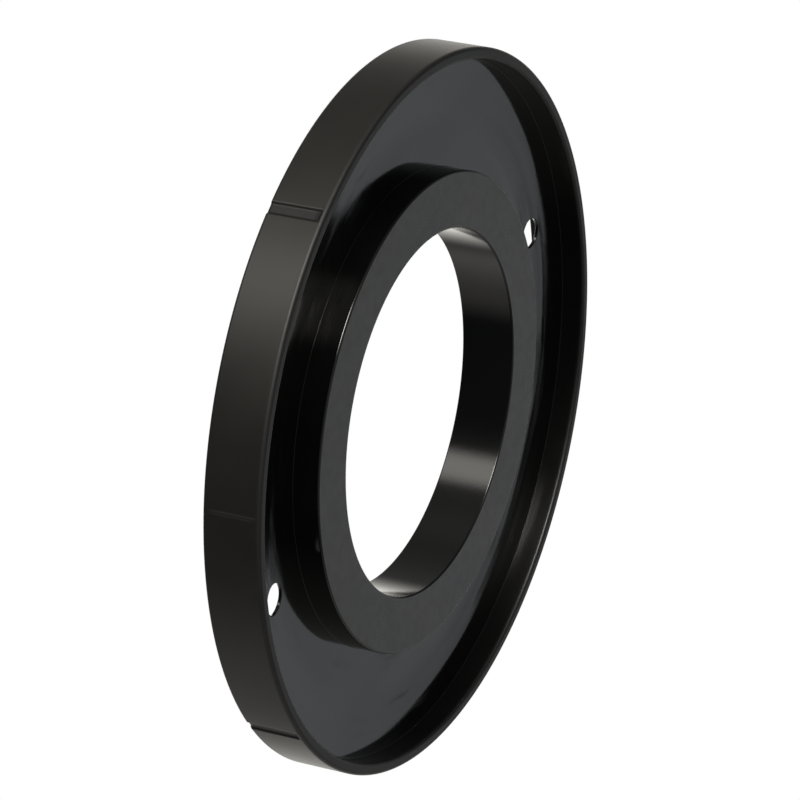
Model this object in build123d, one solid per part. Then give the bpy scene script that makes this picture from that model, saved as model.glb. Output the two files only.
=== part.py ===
from build123d import *
import os

os.makedirs("parts", exist_ok=True)

# Rubber flange gasket: one moulded ring, made of a thin outer rim and a thick hub
# collar joined by a thin web at mid-height.
# Frame: origin at the centre of the back plane, +Z along the bore axis towards the
# front, the two web holes on the X axis. Millimetres.

# Outer rim
RIM_OUTER_DIAMETER = 200.0
RIM_WALL = 3.3
RIM_HEIGHT = 16.5
RIM_FRONT_OUTER_ROUND = 1.0
RIM_FRONT_INNER_ROUND = 0.8
RIM_BACK_ROUND = 0.8

# Hub collar around the bore
BORE_DIAMETER = 101.6
HUB_OUTER_DIAMETER = 133.0
HUB_HEIGHT = 15.8
HUB_EDGE_ROUND = 0.6
BORE_EDGE_ROUND = 0.5

# Web between hub and rim, flat round the hub and dished up a little next to the rim
WEB_THICKNESS = 1.0
WEB_BACK_HEIGHT = 7.2
WEB_DISH_WIDTH = 16.4
WEB_DISH_RISE = 1.55
WEB_DISH_ROUND = 60.0
WEB_RIM_ROOT_ROUND = 0.6
WEB_HUB_ROOT_ROUND = 0.6

# Two fixing holes through the web
HOLE_DIAMETER = 8.5
HOLE_PITCH = 162.5
HOLE_EDGE_ROUND = 0.3

# Axial grooves in the rim's outer wall, open at the back, blind towards the front
GROOVE_COUNT = 4
GROOVE_WIDTH = 3.2
GROOVE_DEPTH = 0.6
GROOVE_FRONT_MARGIN = 1.2
GROOVE_START_ANGLE = 21.3
GROOVE_CORNER_ROUND = 0.4
GROOVE_CUTTER_PROUD = 0.9

# Moulding seam left proud on the rim's outer wall
SEAM_WIDTH = 1.6
SEAM_HEIGHT = 0.3
SEAM_ANGLE = -22.3
SEAM_FRONT_MARGIN = 0.8
SEAM_BACK_MARGIN = 1.0
SEAM_EDGE_ROUND = 0.25
SEAM_EMBED = 1.0


def rounded_outline(corners):
    """Closed half-section face from (radius, height, corner rounding) triples."""
    face = make_face(Polyline(*[(r, z) for r, z, _ in corners], close=True))
    for r, z, rounding in corners:
        if rounding:
            corner = face.vertices().sort_by_distance(Vector(r, z, 0))[0]
            face = fillet(corner, rounding)
    return face


def gasket_ring():
    """Hub, web and rim revolved from one half-section."""
    rim_outer = RIM_OUTER_DIAMETER / 2
    rim_inner = rim_outer - RIM_WALL
    hub_outer = HUB_OUTER_DIAMETER / 2
    bore = BORE_DIAMETER / 2
    web_front = WEB_BACK_HEIGHT + WEB_THICKNESS
    dish_start = rim_inner - WEB_DISH_WIDTH
    section = rounded_outline([
        (bore, 0.0, BORE_EDGE_ROUND),
        (hub_outer, 0.0, HUB_EDGE_ROUND),
        (hub_outer, WEB_BACK_HEIGHT, WEB_HUB_ROOT_ROUND),
        (dish_start, WEB_BACK_HEIGHT, WEB_DISH_ROUND),
        (rim_inner, WEB_BACK_HEIGHT + WEB_DISH_RISE, WEB_RIM_ROOT_ROUND),
        (rim_inner, 0.0, RIM_BACK_ROUND),
        (rim_outer, 0.0, RIM_BACK_ROUND),
        (rim_outer, RIM_HEIGHT, RIM_FRONT_OUTER_ROUND),
        (rim_inner, RIM_HEIGHT, RIM_FRONT_INNER_ROUND),
        (rim_inner, web_front + WEB_DISH_RISE, WEB_RIM_ROOT_ROUND),
        (dish_start, web_front, WEB_DISH_ROUND),
        (hub_outer, web_front, WEB_HUB_ROOT_ROUND),
        (hub_outer, HUB_HEIGHT, HUB_EDGE_ROUND),
        (bore, HUB_HEIGHT, BORE_EDGE_ROUND),
    ])
    return revolve(Plane.XZ * section, Axis.Z)


def fixing_holes(gasket):
    """Cut the two fixing holes through the web and round their edges."""
    web_level = Pos(0, 0, WEB_BACK_HEIGHT)
    for place in PolarLocations(HOLE_PITCH / 2, 2):
        gasket -= place * Cylinder(HOLE_DIAMETER / 2, 2 * RIM_HEIGHT)
        middle = (place * web_level).position
        wall = gasket.faces().filter_by(GeomType.CYLINDER).sort_by_distance(middle)[0]
        mouths = wall.edges().filter_by(GeomType.LINE, reverse=True)
        gasket = fillet(mouths, HOLE_EDGE_ROUND)
    return gasket


def rim_groove():
    """Cutter for one axial groove, centred on the X axis at the rim's outer wall."""
    top = RIM_HEIGHT - GROOVE_FRONT_MARGIN
    bar = extrude(
        Plane.YZ * Rectangle(GROOVE_WIDTH, 2 * top),
        amount=GROOVE_DEPTH + GROOVE_CUTTER_PROUD)
    long_edges = bar.faces().sort_by(Axis.X)[0].edges()
    bar = fillet(long_edges, GROOVE_CORNER_ROUND)
    return Pos(RIM_OUTER_DIAMETER / 2 - GROOVE_DEPTH, 0, 0) * bar


def rim_seam():
    """Fine proud ridge along the rim's outer wall, centred on the X axis."""
    length = RIM_HEIGHT - SEAM_FRONT_MARGIN - SEAM_BACK_MARGIN
    ridge = extrude(
        Plane.YZ * Rectangle(SEAM_WIDTH, length), amount=SEAM_EMBED + SEAM_HEIGHT)
    ridge = fillet(ridge.faces().sort_by(Axis.X)[-1].edges(), SEAM_EDGE_ROUND)
    return Pos(
        RIM_OUTER_DIAMETER / 2 - SEAM_EMBED, 0, SEAM_BACK_MARGIN + length / 2) * ridge


def flange_gasket():
    gasket = gasket_ring()
    gasket = fixing_holes(gasket)
    for turn in PolarLocations(0, GROOVE_COUNT, start_angle=GROOVE_START_ANGLE):
        gasket -= turn * rim_groove()
    gasket += Rot(0, 0, SEAM_ANGLE) * rim_seam()
    return gasket


part = flange_gasket()
part.label = "flange_gasket"
export_step(part, "parts/flange_gasket.step")
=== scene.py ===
import math

import bpy
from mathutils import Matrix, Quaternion, Vector


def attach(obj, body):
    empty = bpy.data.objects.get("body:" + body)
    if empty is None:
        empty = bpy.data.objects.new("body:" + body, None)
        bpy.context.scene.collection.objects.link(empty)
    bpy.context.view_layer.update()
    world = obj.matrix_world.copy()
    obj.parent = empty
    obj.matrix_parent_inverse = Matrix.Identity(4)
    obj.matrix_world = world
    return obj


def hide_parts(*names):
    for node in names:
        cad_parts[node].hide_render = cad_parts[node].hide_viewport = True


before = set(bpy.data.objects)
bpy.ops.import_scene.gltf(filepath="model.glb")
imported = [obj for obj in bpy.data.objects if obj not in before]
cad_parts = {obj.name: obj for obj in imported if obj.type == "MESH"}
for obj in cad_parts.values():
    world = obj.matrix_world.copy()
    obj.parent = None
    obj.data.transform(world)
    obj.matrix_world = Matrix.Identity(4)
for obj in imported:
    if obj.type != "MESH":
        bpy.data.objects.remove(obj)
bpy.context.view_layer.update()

MM = 0.001

# Gasket sizes: lengths in millimetres, angles in degrees. They are the solid's, but the
# web's roots are sharper here, and the grooves and the seam are shallower and softer.
RIM_OUTER_RADIUS = 100.0
RIM_WALL = 3.3
RIM_HEIGHT = 16.5
RIM_FRONT_OUTER_ROUND = 1.0
RIM_FRONT_INNER_ROUND = 0.8
RIM_BACK_ROUND = 0.8
BORE_RADIUS = 50.8
HUB_OUTER_RADIUS = 66.5
HUB_HEIGHT = 15.8
HUB_EDGE_ROUND = 0.6
BORE_EDGE_ROUND = 0.5
WEB_THICKNESS = 1.0
WEB_BACK_HEIGHT = 7.2
WEB_DISH_WIDTH = 16.4
WEB_DISH_RISE = 1.55
WEB_DISH_ROUND = 60.0
WEB_RIM_ROOT_ROUND = 0.12
WEB_HUB_ROOT_ROUND = 0.12
HOLE_RADIUS = 4.25
HOLE_PITCH_RADIUS = 81.25
HOLE_EDGE_ROUND = 0.3
HOLE_TURNS = (0.0, 180.0)
GROOVE_COUNT = 4
GROOVE_WIDTH = 3.2
GROOVE_DEPTH = 0.5
GROOVE_FRONT_MARGIN = 1.2
GROOVE_START_ANGLE = 21.3
GROOVE_SOFTNESS = 0.8
GROOVE_END_FADE = 0.7
SEAM_WIDTH = 1.6
SEAM_HEIGHT = 0.2
SEAM_ANGLE = -22.3
SEAM_FRONT_MARGIN = 0.8
SEAM_BACK_MARGIN = 1.0
SEAM_END_FADE = 1.5

# Unevenness of the web: heights, ring pitch and margins in millimetres, angles in radians
RING_SAG = 0.038
RING_PITCH = 5.5
RING_TURN = 2.6
RING_DRIFT = 0.6
DRIFT_COUNT = 3
RIPPLE_SAG = 0.035
RIPPLE_COUNT = 11
RIPPLE_BEAT = 4
RIPPLE_TURN = 1.1
RIPPLE_SWIRL = 0.15
SAG_EDGE = 0.5
SAG_FULL = 4.0

# Mesh density: lengths in millimetres, angles in degrees. GUARD sets the extra points
# beside each rounding, and FINE_STEP the turns beside the edges of grooves and seam.
ARC_STEP = 15.0
GUARD = 0.06
STRAIGHT_STEP = 1.5
FADE_STEPS = 4
TURN_STEP = 1.0
FINE_STEP = 0.12
FINE_REACH = 4
LEAST_TURN = 0.054
TURN_DIGITS = 4
HOLE_WINDOW_TURN = 6.0
HOLE_WINDOW_INNER = 73.0
HOLE_WINDOW_OUTER = 90.0
HOLE_RINGS = 5
HOLE_EDGE_STEPS = 4
TOLERANCE = 1e-3

# Places worked out from the sizes above
RIM_INNER_RADIUS = RIM_OUTER_RADIUS - RIM_WALL
DISH_START_RADIUS = RIM_INNER_RADIUS - WEB_DISH_WIDTH
WEB_FRONT_HEIGHT = WEB_BACK_HEIGHT + WEB_THICKNESS
GROOVE_TOP = RIM_HEIGHT - GROOVE_FRONT_MARGIN
SEAM_TOP = RIM_HEIGHT - SEAM_FRONT_MARGIN
GROOVE_TURNS = [GROOVE_START_ANGLE + 360.0 / GROOVE_COUNT * k for k in range(GROOVE_COUNT)]


def ramp(value, low, high):
    """0 below low, 1 above high, smooth between."""
    t = min(max((value - low) / (high - low), 0.0), 1.0)
    return t * t * (3.0 - 2.0 * t)


def turn_from(turn, middle):
    """Signed angle from middle to turn, between -180 and 180 degrees."""
    return (turn - middle + 180.0) % 360.0 - 180.0


def rounded_outline(corners):
    """Closed (radius, height) outline with every corner rounded.

    A corner is its radius, its height, its rounding, and the points that the straight
    run after it has to pass through.
    """
    outline = []
    count = len(corners)
    reaches = []
    for i, (r, z, rounding, _) in enumerate(corners):
        here = Vector((r, z))
        into = (Vector(corners[i - 1][:2]) - here).normalized()
        out = (Vector(corners[(i + 1) % count][:2]) - here).normalized()
        half = into.angle(out) / 2
        reaches.append((here, into, out, half, rounding / math.tan(half)))
    for i, (here, into, out, half, reach) in enumerate(reaches):
        rounding, stops = corners[i][2:]
        centre = here + (into + out).normalized() * rounding / math.sin(half)
        first = here + into * reach - centre
        last = here + out * reach - centre
        sweep = first.angle(last)
        outline.append(here + into * (reach + GUARD))
        steps = max(2, round(math.degrees(sweep) / ARC_STEP))
        for k in range(steps + 1):
            share = sweep * k / steps
            outline.append(centre + (first * math.sin(sweep - share)
                                     + last * math.sin(share)) / math.sin(sweep))
        ahead = reaches[(i + 1) % count]
        goal = ahead[0] + ahead[1] * (ahead[4] + GUARD)
        legs = [here + out * (reach + GUARD)] + [Vector(stop) for stop in stops] + [goal]
        outline.append(legs[0])
        for a, b in zip(legs, legs[1:]):
            n = max(1, round((b - a).length / STRAIGHT_STEP))
            for k in range(1, n + 1):
                if not (k == n and b is legs[-1]):
                    outline.append(a.lerp(b, k / n))
    return outline


def dish_lift(r):
    """Height of the web's dished margin above its flat part."""
    slope = math.atan(WEB_DISH_RISE / WEB_DISH_WIDTH)
    reach = WEB_DISH_ROUND * math.tan(slope / 2)
    past = r - DISH_START_RADIUS
    if past <= -reach:
        return 0.0
    if past >= reach * math.cos(slope):
        return past * math.tan(slope)
    return WEB_DISH_ROUND - math.sqrt(WEB_DISH_ROUND ** 2 - (past + reach) ** 2)


def turns():
    """Angles of the revolve, in degrees, closer together at the grooves and the seam."""
    found = {round(k * TURN_STEP, TURN_DIGITS) for k in range(round(360 / TURN_STEP))}
    half = math.degrees(GROOVE_WIDTH / 2 / RIM_OUTER_RADIUS)
    marks = [middle + side * half for middle in GROOVE_TURNS for side in (-1, 1)]
    marks.append(SEAM_ANGLE)
    for mark in marks:
        for k in range(-FINE_REACH, FINE_REACH + 1):
            found.add(round((mark + k * FINE_STEP) % 360.0, TURN_DIGITS))
    kept = []
    for turn in sorted(found):
        if not kept or turn - kept[-1] > LEAST_TURN:
            kept.append(turn)
    return kept


def wall_shift(turn, z):
    """How far the rim's outer wall moves outwards at an angle and height."""
    shift = 0.0
    flank = GROOVE_WIDTH / 2 - GROOVE_SOFTNESS / 2
    for middle in GROOVE_TURNS:
        away = math.radians(abs(turn_from(turn, middle))) * RIM_OUTER_RADIUS
        across = 1.0 - ramp(away, flank, flank + GROOVE_SOFTNESS)
        along = 1.0 - ramp(z, GROOVE_TOP - GROOVE_END_FADE, GROOVE_TOP)
        shift -= GROOVE_DEPTH * across * along
    away = math.radians(abs(turn_from(turn, SEAM_ANGLE))) * RIM_OUTER_RADIUS
    across = 1.0 - ramp(away, 0.0, SEAM_WIDTH / 2)
    along = ramp(z, SEAM_BACK_MARGIN, SEAM_BACK_MARGIN + SEAM_END_FADE)
    along *= 1.0 - ramp(z, SEAM_TOP - SEAM_END_FADE, SEAM_TOP)
    return shift + SEAM_HEIGHT * across * along


def web_sag(x, y):
    """Slight unevenness of the thin web: faint rings and broader ripples round the hub."""
    r = math.hypot(x, y)
    a = math.atan2(y, x)
    share = ramp(r, HUB_OUTER_RADIUS + SAG_EDGE, HUB_OUTER_RADIUS + SAG_FULL)
    share *= 1.0 - ramp(r, RIM_INNER_RADIUS - SAG_FULL, RIM_INNER_RADIUS - SAG_EDGE)
    drift = math.sin(a + RIPPLE_TURN) + RING_DRIFT * math.sin(DRIFT_COUNT * a)
    rings = math.sin(2.0 * math.pi * r / RING_PITCH + drift)
    rings *= 0.5 + 0.5 * math.cos(a - RING_TURN)
    ripples = math.sin(RIPPLE_COUNT * a + RIPPLE_SWIRL * r)
    ripples *= math.sin(RIPPLE_BEAT * a + RIPPLE_TURN)
    return share * (RING_SAG * rings + RIPPLE_SAG * ripples)


def ring_outline():
    """Half-section of the gasket: hub, dished web and rim, starting at the bore's back edge."""
    wall_stops = [(RIM_OUTER_RADIUS, GROOVE_TOP - GROOVE_END_FADE * k / FADE_STEPS)
                  for k in range(FADE_STEPS, -1, -1)]
    lift = dish_lift(HOLE_WINDOW_OUTER)
    return rounded_outline([
        (BORE_RADIUS, 0.0, BORE_EDGE_ROUND, []),
        (HUB_OUTER_RADIUS, 0.0, HUB_EDGE_ROUND, []),
        (HUB_OUTER_RADIUS, WEB_BACK_HEIGHT, WEB_HUB_ROOT_ROUND,
         [(HOLE_WINDOW_INNER, WEB_BACK_HEIGHT)]),
        (DISH_START_RADIUS, WEB_BACK_HEIGHT, WEB_DISH_ROUND,
         [(HOLE_WINDOW_OUTER, WEB_BACK_HEIGHT + lift)]),
        (RIM_INNER_RADIUS, WEB_BACK_HEIGHT + WEB_DISH_RISE, WEB_RIM_ROOT_ROUND, []),
        (RIM_INNER_RADIUS, 0.0, RIM_BACK_ROUND, []),
        (RIM_OUTER_RADIUS, 0.0, RIM_BACK_ROUND, wall_stops),
        (RIM_OUTER_RADIUS, RIM_HEIGHT, RIM_FRONT_OUTER_ROUND, []),
        (RIM_INNER_RADIUS, RIM_HEIGHT, RIM_FRONT_INNER_ROUND, []),
        (RIM_INNER_RADIUS, WEB_FRONT_HEIGHT + WEB_DISH_RISE, WEB_RIM_ROOT_ROUND,
         [(HOLE_WINDOW_OUTER, WEB_FRONT_HEIGHT + lift)]),
        (DISH_START_RADIUS, WEB_FRONT_HEIGHT, WEB_DISH_ROUND,
         [(HOLE_WINDOW_INNER, WEB_FRONT_HEIGHT)]),
        (HUB_OUTER_RADIUS, WEB_FRONT_HEIGHT, WEB_HUB_ROOT_ROUND, []),
        (HUB_OUTER_RADIUS, HUB_HEIGHT, HUB_EDGE_ROUND, []),
        (BORE_RADIUS, HUB_HEIGHT, BORE_EDGE_ROUND, []),
    ])


def in_turn_window(turn, middle):
    """Whether an angle lies in the window round the hole at the middle angle."""
    return abs(turn_from(turn, middle)) <= HOLE_WINDOW_TURN + TOLERANCE


def on_web_window(point, level):
    """Whether an outline point lies in the window on the web face at this level."""
    r, z = point
    return (HOLE_WINDOW_INNER - TOLERANCE <= r <= HOLE_WINDOW_OUTER + TOLERANCE
            and abs(z - dish_lift(r) - level) < TOLERANCE)


def revolved_grid(outline, stations):
    """The revolved section, with a window left open round each fixing hole."""
    verts = []
    for turn in stations:
        a = math.radians(turn)
        for r, z in outline:
            if r > RIM_INNER_RADIUS:
                share = ramp(r, RIM_OUTER_RADIUS - RIM_WALL / 2, RIM_OUTER_RADIUS)
                r += wall_shift(turn, z) * share
            verts.append((r * math.cos(a), r * math.sin(a), z))
    rows = len(outline)
    open_rows = {i for i, point in enumerate(outline)
                 for level in (WEB_FRONT_HEIGHT, WEB_BACK_HEIGHT) if on_web_window(point, level)}
    faces = []
    for s, turn in enumerate(stations):
        t = (s + 1) % len(stations)
        open_turn = any(in_turn_window(turn, middle) and in_turn_window(stations[t], middle)
                        for middle in HOLE_TURNS)
        for i in range(rows):
            j = (i + 1) % rows
            if not (open_turn and i in open_rows and j in open_rows):
                faces.append((s * rows + i, t * rows + i, t * rows + j, s * rows + j))
    return verts, faces


def window_loop(outline, stations, middle, level):
    """Vertex numbers round one window, anticlockwise seen from the front."""
    rows = len(outline)
    inside = [s for s, turn in enumerate(stations) if in_turn_window(turn, middle)]
    inside.sort(key=lambda s: turn_from(stations[s], middle))
    across = [i for i, point in enumerate(outline) if on_web_window(point, level)]
    across.sort(key=lambda i: outline[i][0])
    loop = [inside[0] * rows + i for i in across]
    loop += [s * rows + across[-1] for s in inside[1:]]
    loop += [inside[-1] * rows + i for i in reversed(across[:-1])]
    loop += [s * rows + across[0] for s in reversed(inside[1:-1])]
    return loop


def join(faces, loop, ring):
    """Faces between two loops with the same number of points."""
    count = len(loop)
    faces += [(loop[k], loop[(k + 1) % count], ring[(k + 1) % count], ring[k])
              for k in range(count)]


def add_hole(verts, faces, front, back, middle):
    """Fill one window on both faces of the web, down to the round hole through it."""
    a = math.radians(middle)
    cx, cy = HOLE_PITCH_RADIUS * math.cos(a), HOLE_PITCH_RADIUS * math.sin(a)
    bearings = [math.atan2(verts[v][1] - cy, verts[v][0] - cx) for v in front]
    mouth = HOLE_RADIUS + HOLE_EDGE_ROUND + GUARD

    def on_web(loop, share):
        """Ring on a web face, a share of the way from the window's edge to the mouth."""
        ring = []
        for v, bearing in zip(loop, bearings):
            ex, ey, ez = verts[v]
            x = ex + (cx + math.cos(bearing) * mouth - ex) * share
            y = ey + (cy + math.sin(bearing) * mouth - ey) * share
            z = ez - dish_lift(math.hypot(ex, ey)) + dish_lift(math.hypot(x, y))
            ring.append((x, y, z))
        return ring

    def in_hole(radius, level):
        """Ring in the hole, at a radius and a level that follows the dished web."""
        ring = []
        for bearing in bearings:
            x, y = cx + math.cos(bearing) * radius, cy + math.sin(bearing) * radius
            ring.append((x, y, level + dish_lift(math.hypot(x, y))))
        return ring

    shares = [k / HOLE_RINGS for k in range(1, HOLE_RINGS + 1)]
    quarter = [math.pi / 2 * k / HOLE_EDGE_STEPS for k in range(HOLE_EDGE_STEPS + 1)]
    edge = [(HOLE_RADIUS + HOLE_EDGE_ROUND * (1 - math.sin(q)),
             HOLE_EDGE_ROUND * (1 - math.cos(q))) for q in quarter]
    rings = [on_web(front, share) for share in shares]
    rings += [in_hole(radius, WEB_FRONT_HEIGHT - drop) for radius, drop in edge]
    rings += [in_hole(radius, WEB_BACK_HEIGHT + drop) for radius, drop in reversed(edge)]
    rings += [on_web(back, share) for share in reversed(shares)]
    last = front
    for points in rings:
        ring = range(len(verts), len(verts) + len(points))
        verts += points
        join(faces, last, ring)
        last = ring
    join(faces, last, back)


def build_gasket():
    """The whole gasket as one closed mesh."""
    outline = ring_outline()
    stations = turns()
    verts, faces = revolved_grid(outline, stations)
    for middle in HOLE_TURNS:
        front = window_loop(outline, stations, middle, WEB_FRONT_HEIGHT)
        back = window_loop(outline, stations, middle, WEB_BACK_HEIGHT)
        add_hole(verts, faces, front, back, middle)
    for v, (x, y, z) in enumerate(verts):
        r = math.hypot(x, y)
        centre = WEB_BACK_HEIGHT + WEB_THICKNESS / 2 + dish_lift(r)
        if HUB_OUTER_RADIUS < r < RIM_INNER_RADIUS and abs(z - centre) < WEB_THICKNESS:
            verts[v] = (x, y, z + web_sag(x, y))
    mesh = bpy.data.meshes.new("gasket_ring")
    mesh.from_pydata([(x * MM, y * MM, z * MM) for x, y, z in verts], [], faces)
    mesh.validate()
    mesh.shade_smooth()
    ring = bpy.data.objects.new("gasket_ring", mesh)
    bpy.context.scene.collection.objects.link(ring)
    return ring


# Rubber finish: roughness of each surface, what its marks change in it, and a fine bump
# whose height is in millimetres
WEB_ROUGHNESS = 0.09
WEB_STREAK_ROUGHNESS = 0.34
HUB_FACE_ROUGHNESS = 0.26
HUB_PATCH_ROUGHNESS = 0.08
HUB_GRAIN_ROUGHNESS = 0.10
BORE_ROUGHNESS = 0.13
RIM_INNER_ROUGHNESS = 0.29
RIM_OUTER_ROUGHNESS = 0.42
LIP_ROUGHNESS = 0.50
CLOUD_ROUGHNESS = 0.06
FINE_ROUGHNESS = 0.02
SPECULAR_LEVEL = 0.5
BUMP_STRENGTH = 0.10
BUMP_HEIGHT = 0.05

# Where one finish gives way to the next: millimetres from an edge, and half the blend
FINISH_BLEND = 0.3
DUST_BLEND = 0.2
BORE_EDGE_REACH = 0.6
HUB_EDGE_REACH = 0.4
FILM_EDGE_REACH = 0.6
RIM_ROOT_REACH = 0.6
RIM_EDGE_REACH = 1.2
DUST_REACH = 0.4
LIP_START = 1.6
LIP_FULL = 0.9

# Noise patterns: scale, detail, and the values taken as none and as full. The streaks
# run round the web, so they are stretched along the turn and close together across it.
PATCHES = (38.0, 4.0, 0.36, 0.68)
GRAIN = (330.0, 3.0, 0.35, 0.65)
STREAKS = (20.0, 4.0, 0.45, 0.75)
STREAK_ACROSS = 12.0
STREAK_ALONG = 0.16
CLOUD_SCALE = 60.0
FINE_SCALE = 900.0

# Rubber colours: deep and lighter rubber, dust on the outer wall, bloom on the hub faces,
# and the shares that the patterns have in dust and bloom
RUBBER_DARK = (0.0008, 0.0008, 0.0009, 1.0)
RUBBER_LIGHT = (0.0020, 0.0020, 0.0022, 1.0)
RUBBER_DUSTY = (0.0085, 0.0081, 0.0066, 1.0)
RUBBER_BLOOM = (0.036, 0.036, 0.035, 1.0)
DUST_LEAST = 0.5
BLOOM_PATCHES = 0.7
BLOOM_GRAIN = 0.3


class NodeKit:
    """Short calls that add shader nodes and link them."""

    def __init__(self, tree):
        self.nodes, self.links = tree.nodes, tree.links

    def add(self, kind, **settings):
        node = self.nodes.new(kind)
        for name, value in settings.items():
            setattr(node, name, value)
        return node

    def feed(self, socket, value):
        if isinstance(value, bpy.types.NodeSocket):
            self.links.new(value, socket)
        else:
            socket.default_value = value

    def math(self, operation, a, b=0.0, clamp=False):
        node = self.add("ShaderNodeMath", operation=operation, use_clamp=clamp)
        self.feed(node.inputs[0], a)
        self.feed(node.inputs[1], b)
        return node.outputs[0]

    def step(self, value, low, high):
        """0 below low, 1 above high, smooth between."""
        node = self.add("ShaderNodeMapRange", interpolation_type="SMOOTHSTEP")
        self.feed(node.inputs["Value"], value)
        node.inputs["From Min"].default_value = low
        node.inputs["From Max"].default_value = high
        return node.outputs[0]

    def inverse(self, value):
        return self.math("SUBTRACT", 1.0, value)

    def mix(self, share, a, b):
        node = self.add("ShaderNodeMix", data_type="FLOAT")
        self.feed(node.inputs[0], share)
        self.feed(node.inputs[2], a)
        self.feed(node.inputs[3], b)
        return node.outputs[0]

    def mix_colour(self, share, a, b):
        node = self.add("ShaderNodeMix", data_type="RGBA")
        self.feed(node.inputs[0], share)
        self.feed(node.inputs[6], a)
        self.feed(node.inputs[7], b)
        return node.outputs[2]

    def split(self, vector):
        node = self.add("ShaderNodeSeparateXYZ")
        self.links.new(vector, node.inputs[0])
        return node.outputs

    def noise(self, place, scale, detail=2.0):
        node = self.add("ShaderNodeTexNoise")
        self.feed(node.inputs["Vector"], place)
        node.inputs["Scale"].default_value = scale
        node.inputs["Detail"].default_value = detail
        return node.outputs["Fac"]

    def pattern(self, place, settings):
        """Noise stretched to run from none to full."""
        scale, detail, none, full = settings
        return self.step(self.noise(place, scale, detail), none, full)


def rubber_material():
    """Black rubber: glossy bore and web, satin hub faces, dusty matt outer wall."""
    mat = bpy.data.materials.new("black_rubber")
    mat.use_nodes = True
    kit = NodeKit(mat.node_tree)
    shader = kit.nodes["Principled BSDF"]
    place = kit.add("ShaderNodeTexCoord").outputs["Object"]
    x, y, z = kit.split(place)
    radius = kit.math("SQRT", kit.math("ADD", kit.math("MULTIPLY", x, x),
                                       kit.math("MULTIPLY", y, y)))

    def beyond(edge, blend=FINISH_BLEND):
        return kit.step(radius, (edge - blend) * MM, (edge + blend) * MM)

    def swing(value, amount):
        return kit.math("MULTIPLY", kit.math("SUBTRACT", value, 0.5), amount)

    patches = kit.pattern(place, PATCHES)
    grain = kit.pattern(place, GRAIN)
    cloudy = kit.noise(place, CLOUD_SCALE)
    fine = kit.noise(place, FINE_SCALE)
    turn = kit.math("ARCTAN2", y, x)
    arcs = kit.add("ShaderNodeCombineXYZ")
    kit.feed(arcs.inputs[0], kit.math("MULTIPLY", radius, STREAK_ACROSS))
    kit.feed(arcs.inputs[1], kit.math("MULTIPLY", kit.math("SINE", turn), STREAK_ALONG))
    kit.feed(arcs.inputs[2], kit.math("MULTIPLY", kit.math("COSINE", turn), STREAK_ALONG))
    streaks = kit.math("MULTIPLY", patches, kit.pattern(arcs.outputs[0], STREAKS))

    uneven = kit.math("ADD", kit.math("MULTIPLY", patches, HUB_PATCH_ROUGHNESS),
                      kit.math("MULTIPLY", grain, HUB_GRAIN_ROUGHNESS))
    hub = kit.math("ADD", HUB_FACE_ROUGHNESS, uneven)
    web = kit.mix(streaks, WEB_ROUGHNESS, WEB_STREAK_ROUGHNESS)
    on_lip = kit.math("MULTIPLY", beyond(RIM_INNER_RADIUS),
                      kit.step(z, (RIM_HEIGHT - LIP_START) * MM, (RIM_HEIGHT - LIP_FULL) * MM))
    finish = kit.mix(beyond(BORE_RADIUS + BORE_EDGE_REACH), BORE_ROUGHNESS, hub)
    finish = kit.mix(beyond(HUB_OUTER_RADIUS - HUB_EDGE_REACH), finish, web)
    finish = kit.mix(beyond(RIM_INNER_RADIUS - RIM_ROOT_REACH), finish, RIM_INNER_ROUGHNESS)
    finish = kit.mix(beyond(RIM_OUTER_RADIUS - RIM_EDGE_REACH), finish, RIM_OUTER_ROUGHNESS)
    finish = kit.mix(on_lip, finish, LIP_ROUGHNESS)
    finish = kit.math("ADD", finish, swing(cloudy, CLOUD_ROUGHNESS))
    finish = kit.math("ADD", finish, swing(fine, FINE_ROUGHNESS), clamp=True)
    kit.links.new(finish, shader.inputs["Roughness"])

    bloom = kit.math("ADD", kit.math("MULTIPLY", patches, BLOOM_PATCHES),
                     kit.math("MULTIPLY", grain, BLOOM_GRAIN))
    bloom = kit.math("MULTIPLY", bloom, kit.inverse(beyond(HUB_OUTER_RADIUS - FILM_EDGE_REACH)))
    bloom = kit.math("MULTIPLY", bloom, beyond(BORE_RADIUS + BORE_EDGE_REACH))
    dust = kit.math("MULTIPLY", beyond(RIM_OUTER_RADIUS - DUST_REACH, DUST_BLEND),
                    kit.mix(cloudy, DUST_LEAST, 1.0))
    colour = kit.mix_colour(cloudy, RUBBER_DARK, RUBBER_LIGHT)
    colour = kit.mix_colour(bloom, colour, RUBBER_BLOOM)
    colour = kit.mix_colour(dust, colour, RUBBER_DUSTY)
    kit.links.new(colour, shader.inputs["Base Color"])

    bump = kit.add("ShaderNodeBump")
    bump.inputs["Strength"].default_value = BUMP_STRENGTH
    bump.inputs["Distance"].default_value = BUMP_HEIGHT * MM
    kit.feed(bump.inputs["Height"], fine)
    kit.links.new(bump.outputs[0], shader.inputs["Normal"])
    shader.inputs["Specular IOR Level"].default_value = SPECULAR_LEVEL
    return mat


# Studio: a white floor under the part that only the camera sees, and a dim room with an
# upright strip lamp, a bright table beyond the part and soft glows around it. Azimuths and
# elevations are in degrees in the part's frame, and glows are radiances.
FLOOR_SIZE = 3.0
FLOOR_LEVEL = -0.2 * MM
FLOOR_WHITE = 1.0
ROOM_GLOW = 0.06
SKY_TINT = (0.955, 0.99, 1.02, 1.0)
LAMP_TINT = (1.03, 1.0, 0.93, 1.0)
STRIP_AZIMUTH = -73.0
STRIP_HALF_WIDTH = 9.0
STRIP_SOFTNESS = 5.0
STRIP_LOW = -40.0
STRIP_MIDDLE = 0.0
STRIP_HIGH = 18.0
STRIP_SHADE = 5.0
STRIP_GLOW = 3.4
STRIP_TOP_GLOW = 28.0

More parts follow.
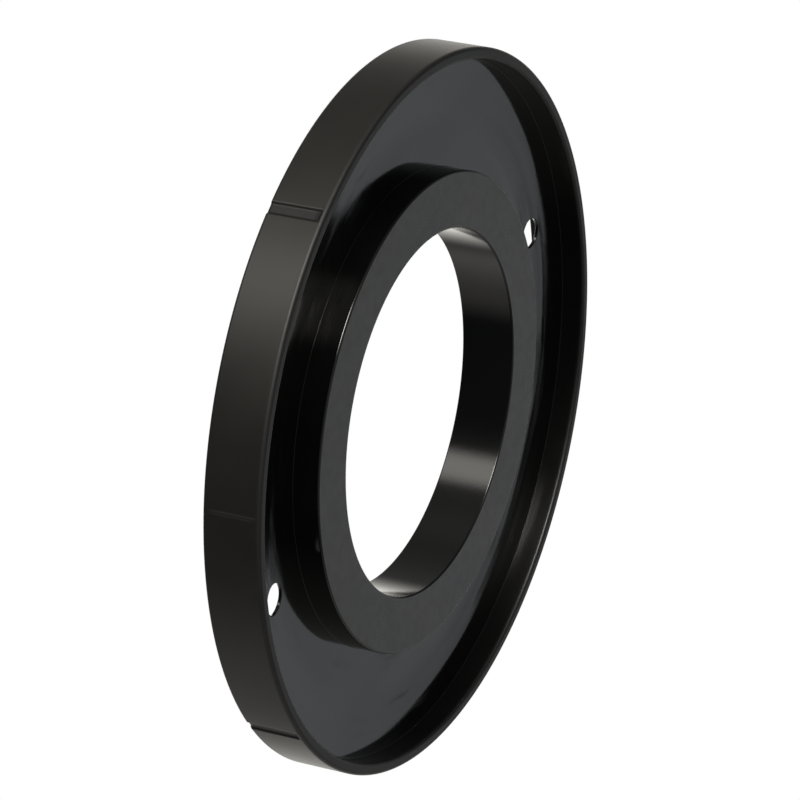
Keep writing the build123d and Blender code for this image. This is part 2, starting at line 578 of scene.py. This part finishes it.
# Soft round glows: azimuth, elevation, angle with full glow, angle where it ends, glow
SKY_LOBES = [
    (138.0, 27.5, 4.0, 17.0, 0.26),
    (146.0, 29.0, 8.0, 36.0, 0.15),
]
LAMP_LOBES = [
    (137.0, -28.0, 10.0, 45.0, 1.85),
    (56.0, -27.0, 8.0, 31.0, 0.38),
    (80.0, 12.0, 15.0, 50.0, 0.30),
    (-85.0, 15.0, 20.0, 60.0, 0.14),
    (-82.0, 27.0, 6.0, 18.0, 1.30),
    (-43.0, 60.0, 40.0, 80.0, 0.10),
    (-43.0, 86.0, 15.0, 42.0, 0.22),
    (-92.0, -28.0, 10.0, 40.0, 0.11),
    (-145.0, -25.0, 15.0, 45.0, 0.15),
]

# Camera: angles in degrees, distances in metres, lens and sensor in millimetres
CAMERA_AZIMUTH = 47.196
CAMERA_ELEVATION = 24.517
CAMERA_ROLL = 100.983
CAMERA_DISTANCE = 1.21643
CAMERA_AIM = (0.00321, -0.00545, 0.00825)
CAMERA_LENS = 202.5
SENSOR = 36.0


def add_floor():
    """White floor under the part, left out of its reflections and shadows."""
    mesh = bpy.data.meshes.new("studio_floor")
    corners = [(-1, -1), (1, -1), (1, 1), (-1, 1)]
    mesh.from_pydata([(x * FLOOR_SIZE, y * FLOOR_SIZE, FLOOR_LEVEL) for x, y in corners],
                     [], [(0, 1, 2, 3)])
    floor = bpy.data.objects.new("studio_floor", mesh)
    bpy.context.scene.collection.objects.link(floor)
    floor.visible_glossy = False
    floor.visible_diffuse = False
    floor.visible_shadow = False
    mat = bpy.data.materials.new("pale_floor")
    mat.use_nodes = True
    kit = NodeKit(mat.node_tree)
    kit.nodes.remove(kit.nodes["Principled BSDF"])
    light = kit.add("ShaderNodeEmission")
    light.inputs["Strength"].default_value = FLOOR_WHITE
    kit.links.new(light.outputs[0], kit.nodes["Material Output"].inputs["Surface"])
    mesh.materials.append(mat)


def add_camera():
    """Camera at its angles round the part, rolled so that the part stands on edge."""
    a, e = math.radians(CAMERA_AZIMUTH), math.radians(CAMERA_ELEVATION)
    back = Vector((math.sin(a) * math.cos(e), -math.cos(a) * math.cos(e), math.sin(e)))
    data = bpy.data.cameras.new("camera")
    data.lens = CAMERA_LENS
    data.sensor_width = SENSOR
    cam = bpy.data.objects.new("camera", data)
    bpy.context.scene.collection.objects.link(cam)
    cam.location = Vector(CAMERA_AIM) + back * CAMERA_DISTANCE
    cam.rotation_mode = "QUATERNION"
    turn = Quaternion((0, 0, 1), math.radians(CAMERA_ROLL))
    cam.rotation_quaternion = (-back).to_track_quat("-Z", "Y") @ turn
    bpy.context.scene.camera = cam


def direction(azimuth, elevation):
    """Unit vector towards an azimuth and elevation."""
    a, e = math.radians(azimuth), math.radians(elevation)
    return Vector((math.cos(a) * math.cos(e), math.sin(a) * math.cos(e), math.sin(e)))


def add_lobes(kit, place, glow, lobes):
    """A glow with soft round lobes added to it."""
    for azimuth, elevation, inner, outer, amount in lobes:
        facing = kit.add("ShaderNodeVectorMath", operation="DOT_PRODUCT")
        kit.links.new(place, facing.inputs[0])
        facing.inputs[1].default_value = direction(azimuth, elevation)
        share = kit.step(facing.outputs["Value"], math.cos(math.radians(outer)),
                         math.cos(math.radians(inner)))
        glow = kit.math("ADD", glow, kit.math("MULTIPLY", share, amount))
    return glow


def strip_lamp(kit, place):
    """Glow of the upright strip, which is stronger above its middle than below."""
    x, y, z = kit.split(place)
    turn = kit.math("MULTIPLY", kit.math("ARCTAN2", y, x), math.degrees(1.0))
    rise = kit.math("MULTIPLY", kit.math("ARCSINE", z), math.degrees(1.0))

    def risen(edge):
        return kit.step(rise, edge - STRIP_SHADE, edge + STRIP_SHADE)

    away = kit.math("ABSOLUTE", kit.math("SUBTRACT", turn, STRIP_AZIMUTH))
    near = kit.inverse(kit.step(
        away, STRIP_HALF_WIDTH - STRIP_SOFTNESS, STRIP_HALF_WIDTH + STRIP_SOFTNESS))
    strength = kit.mix(risen(STRIP_MIDDLE), STRIP_GLOW, STRIP_TOP_GLOW)
    ends = kit.math("MULTIPLY", risen(STRIP_LOW), kit.inverse(risen(STRIP_HIGH)))
    return kit.math("MULTIPLY", kit.math("MULTIPLY", near, strength), ends)


def add_room():
    """Dim room with its soft glows and strip lamp, as seen in the part's reflections."""
    world = bpy.data.worlds.new("studio")
    bpy.context.scene.world = world
    world.use_nodes = True
    kit = NodeKit(world.node_tree)
    place = kit.add("ShaderNodeTexCoord").outputs["Generated"]
    lamps = kit.nodes["Background"]
    lamps.inputs["Color"].default_value = LAMP_TINT
    glow = kit.math("ADD", add_lobes(kit, place, 0.0, LAMP_LOBES), strip_lamp(kit, place))
    kit.links.new(glow, lamps.inputs["Strength"])
    sky = kit.add("ShaderNodeBackground")
    sky.inputs["Color"].default_value = SKY_TINT
    kit.links.new(add_lobes(kit, place, ROOM_GLOW, SKY_LOBES), sky.inputs["Strength"])
    both = kit.add("ShaderNodeAddShader")
    kit.links.new(lamps.outputs[0], both.inputs[0])
    kit.links.new(sky.outputs[0], both.inputs[1])
    kit.links.new(both.outputs[0], kit.nodes["World Output"].inputs["Surface"])


bpy.context.scene.view_settings.view_transform = "Standard"
add_room()
add_floor()
add_camera()
ring = build_gasket()
ring.data.materials.append(rubber_material())
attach(ring, "root")
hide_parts("flange_gasket")
